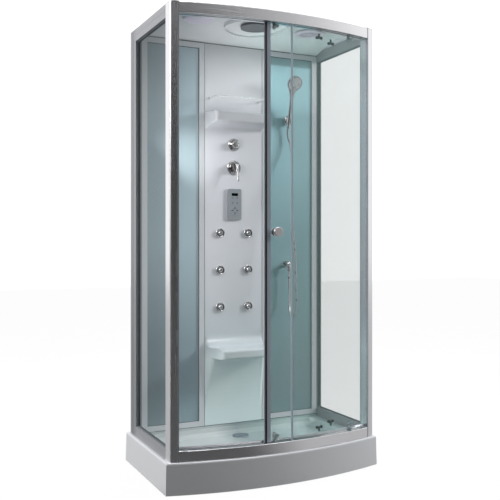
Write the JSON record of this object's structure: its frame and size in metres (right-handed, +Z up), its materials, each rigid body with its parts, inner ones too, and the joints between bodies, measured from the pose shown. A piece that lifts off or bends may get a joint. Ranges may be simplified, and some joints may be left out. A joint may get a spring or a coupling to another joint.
{
  "type": "shower cabin",
  "caption": "Shower cabin with a low tray, bowed glass front, one curved sliding door, moulded back column with seat and shelf, body jets, hand shower and rain head.",
  "frame": {"origin": "centre of the bounding box's bottom face, on the floor under the middle of the tray", "axes": "+Z up, -Y towards the bowed front, +X to the right as seen from the front"},
  "size_m": [1.1, 0.7, 2.202],
  "materials": {
    "tray_acrylic": "glossy",
    "steel_frame": "satin",
    "foot_plastic": "matte",
    "waste_plastic": "matte",
    "drain_metal": "brushed",
    "frame_aluminium": "satin anodised",
    "cap_plastic": "matte",
    "clear_glass": "clear",
    "front_glass": "clear",
    "gasket_rubber": "matte",
    "edge_trim": "satin",
    "chrome": "polished",
    "black_plastic": "matte",
    "back_glass_left": "coloured, backed",
    "back_glass_right": "coloured, backed",
    "column_acrylic": "glossy",
    "panel_metal": "satin",
    "display": "glossy",
    "button_plastic": "satin",
    "pad_plastic": "satin",
    "nozzle_plastic": "glossy",
    "pipe": "satin",
    "hose_metal": "ribbed",
    "ceiling_acrylic": "glossy",
    "rain_plastic": "satin",
    "lamp_lens": "frosted",
    "fan_plastic": "satin",
    "rotor_plastic": "matte"
  },
  "bodies": {
    "cabin": {"tray": "tray_acrylic", "tray_frame": "steel_frame", "adjustable_feet": "foot_plastic", "drain_body": "waste_plastic", "post_front_left": "frame_aluminium", "post_front_right": "frame_aluminium", "post_back_left": "frame_aluminium", "post_back_right": "frame_aluminium", "front_rail_top": "frame_aluminium", "front_rail_bottom": "frame_aluminium", "side_rails": "frame_aluminium", "back_rails": "frame_aluminium", "panel_frame_left": "frame_aluminium", "panel_frame_right": "frame_aluminium", "post_caps": "cap_plastic", "side_glass": "clear_glass", "fixed_panel": "front_glass", "glazing_gaskets": "gasket_rubber", "fixed_panel_trim": "edge_trim", "shelf_rail": "chrome", "valve_bodies": "chrome", "jet_bodies": "chrome", "hand_shower_fittings": "chrome", "back_panel_left": "back_glass_left", "back_panel_right": "back_glass_right", "column": "column_acrylic", "control_panel": "panel_metal", "display_window": "display", "supply_pipes": "pipe", "hose": "hose_metal", "ceiling": "ceiling_acrylic", "rain_head": "rain_plastic", "ceiling_lamp": "lamp_lens", "extractor_fan": "fan_plastic"},
    "door": {"door_glass": "front_glass", "door_seal": "gasket_rubber", "door_edge_trim": "edge_trim", "door_knob": "chrome", "roller_carriages": "black_plastic"},
    "wheel_top_lead": {"wheel_top_lead": "black_plastic"},
    "wheel_top_trail": {"wheel_top_trail": "black_plastic"},
    "wheel_bottom_lead": {"wheel_bottom_lead": "black_plastic"},
    "wheel_bottom_trail": {"wheel_bottom_trail": "black_plastic"},
    "drain_cover": {"drain_cover": "drain_metal"},
    "mixer_cap": {"mixer_cap": "chrome"},
    "mixer_lever": {"mixer_lever": "chrome"},
    "diverter_knob": {"diverter_knob": "chrome"},
    "button_1": {"button_1": "button_plastic"},
    "button_2": {"button_2": "button_plastic"},
    "button_3": {"button_3": "button_plastic"},
    "button_4": {"button_4": "button_plastic"},
    "menu_pad": {"menu_pad": "pad_plastic"},
    "jet_nozzle_1": {"jet_nozzle_1": "nozzle_plastic"},
    "jet_nozzle_2": {"jet_nozzle_2": "nozzle_plastic"},
    "jet_nozzle_3": {"jet_nozzle_3": "nozzle_plastic"},
    "jet_nozzle_4": {"jet_nozzle_4": "nozzle_plastic"},
    "jet_nozzle_5": {"jet_nozzle_5": "nozzle_plastic"},
    "jet_nozzle_6": {"jet_nozzle_6": "nozzle_plastic"},
    "hand_shower": {"hand_shower": "chrome"},
    "fan_rotor": {"fan_rotor": "rotor_plastic"}
  },
  "joints": [
    {"name": "door_slide", "type": "hinge", "parent": "cabin", "child": "door", "pos_m": [0, 1.565, 0], "axis": [0, 0, -1], "range_deg": [0, 12.27]},
    {"name": "wheel_top_lead_spin", "type": "hinge", "parent": "door", "child": "wheel_top_lead", "pos_m": [-0.03045, -0.29475, 2.1123], "axis": [-0.0164, -0.9999, 0], "range_deg": [0, 2540]},
    {"name": "wheel_top_trail_spin", "type": "hinge", "parent": "door", "child": "wheel_top_trail", "pos_m": [0.40329, -0.25075, 2.1123], "axis": [0.2168, -0.9762, 0], "range_deg": [0, 2540]},
    {"name": "wheel_bottom_lead_spin", "type": "hinge", "parent": "door", "child": "wheel_bottom_lead", "pos_m": [-0.03045, -0.29475, 0.1993], "axis": [-0.0164, -0.9999, 0], "range_deg": [0, 2540]},
    {"name": "wheel_bottom_trail_spin", "type": "hinge", "parent": "door", "child": "wheel_bottom_trail", "pos_m": [0.40329, -0.25075, 0.1993], "axis": [0.2168, -0.9762, 0], "range_deg": [0, 2540]},
    {"name": "drain_cover_lift", "type": "slide", "parent": "cabin", "child": "drain_cover", "axis": [0, 0, 1], "range_m": [0, 0.03]},
    {"name": "mixer_turn", "type": "hinge", "parent": "cabin", "child": "mixer_cap", "pos_m": [0, 0.2, 1.486], "axis": [0, 1, 0], "range_deg": [-45, 45]},
    {"name": "mixer_lift", "type": "hinge", "parent": "mixer_cap", "child": "mixer_lever", "pos_m": [0, 0.1937, 1.499], "axis": [-1, 0, 0], "range_deg": [0, 20]},
    {"name": "diverter_turn", "type": "hinge", "parent": "cabin", "child": "diverter_knob", "pos_m": [0, 0.2, 1.606], "axis": [0, 1, 0], "range_deg": [-60, 60]},
    {"name": "button_1_press", "type": "slide", "parent": "cabin", "child": "button_1", "axis": [0, 1, 0], "range_m": [0, 0.0008], "stiffness_N_per_m": 600, "springref_m": -0.001},
    {"name": "button_2_press", "type": "slide", "parent": "cabin", "child": "button_2", "axis": [0, 1, 0], "range_m": [0, 0.0008], "stiffness_N_per_m": 600, "springref_m": -0.001},
    {"name": "button_3_press", "type": "slide", "parent": "cabin", "child": "button_3", "axis": [0, 1, 0], "range_m": [0, 0.0008], "stiffness_N_per_m": 600, "springref_m": -0.001},
    {"name": "button_4_press", "type": "slide", "parent": "cabin", "child": "button_4", "axis": [0, 1, 0], "range_m": [0, 0.0008], "stiffness_N_per_m": 600, "springref_m": -0.001},
    {"name": "menu_pad_press", "type": "slide", "parent": "cabin", "child": "menu_pad", "axis": [0, 1, 0], "range_m": [0, 0.0008], "stiffness_N_per_m": 900, "springref_m": -0.001},
    {"name": "jet_1_tilt", "type": "hinge", "parent": "cabin", "child": "jet_nozzle_1", "pos_m": [-0.08, 0.224, 0.762], "axis": [1, 0, 0], "range_deg": [-15, 15]},
    {"name": "jet_2_tilt", "type": "hinge", "parent": "cabin", "child": "jet_nozzle_2", "pos_m": [0.08, 0.224, 0.762], "axis": [1, 0, 0], "range_deg": [-15, 15]},
    {"name": "jet_3_tilt", "type": "hinge", "parent": "cabin", "child": "jet_nozzle_3", "pos_m": [-0.08, 0.224, 0.954], "axis": [1, 0, 0], "range_deg": [-15, 15]},
    {"name": "jet_4_tilt", "type": "hinge", "parent": "cabin", "child": "jet_nozzle_4", "pos_m": [0.08, 0.224, 0.954], "axis": [1, 0, 0], "range_deg": [-15, 15]},
    {"name": "jet_5_tilt", "type": "hinge", "parent": "cabin", "child": "jet_nozzle_5", "pos_m": [-0.08, 0.224, 1.146], "axis": [1, 0, 0], "range_deg": [-15, 15]},
    {"name": "jet_6_tilt", "type": "hinge", "parent": "cabin", "child": "jet_nozzle_6", "pos_m": [0.08, 0.224, 1.146], "axis": [1, 0, 0], "range_deg": [-15, 15]},
    {"name": "hand_shower_lift", "type": "slide", "parent": "cabin", "child": "hand_shower", "axis": [0, -0.2419, 0.9703], "range_m": [0, 0.06]},
    {"name": "fan_spin", "type": "hinge", "parent": "cabin", "child": "fan_rotor", "pos_m": [0.3, -0.03, 2.175], "axis": [0, 0, 1], "continuous": true}
  ],
  "couplings": [
    {"joint": "wheel_top_lead_spin", "follows": "door_slide", "ratio": 206.67},
    {"joint": "wheel_top_trail_spin", "follows": "door_slide", "ratio": 206.67},
    {"joint": "wheel_bottom_lead_spin", "follows": "door_slide", "ratio": 206.67},
    {"joint": "wheel_bottom_trail_spin", "follows": "door_slide", "ratio": 206.67}
  ]
}
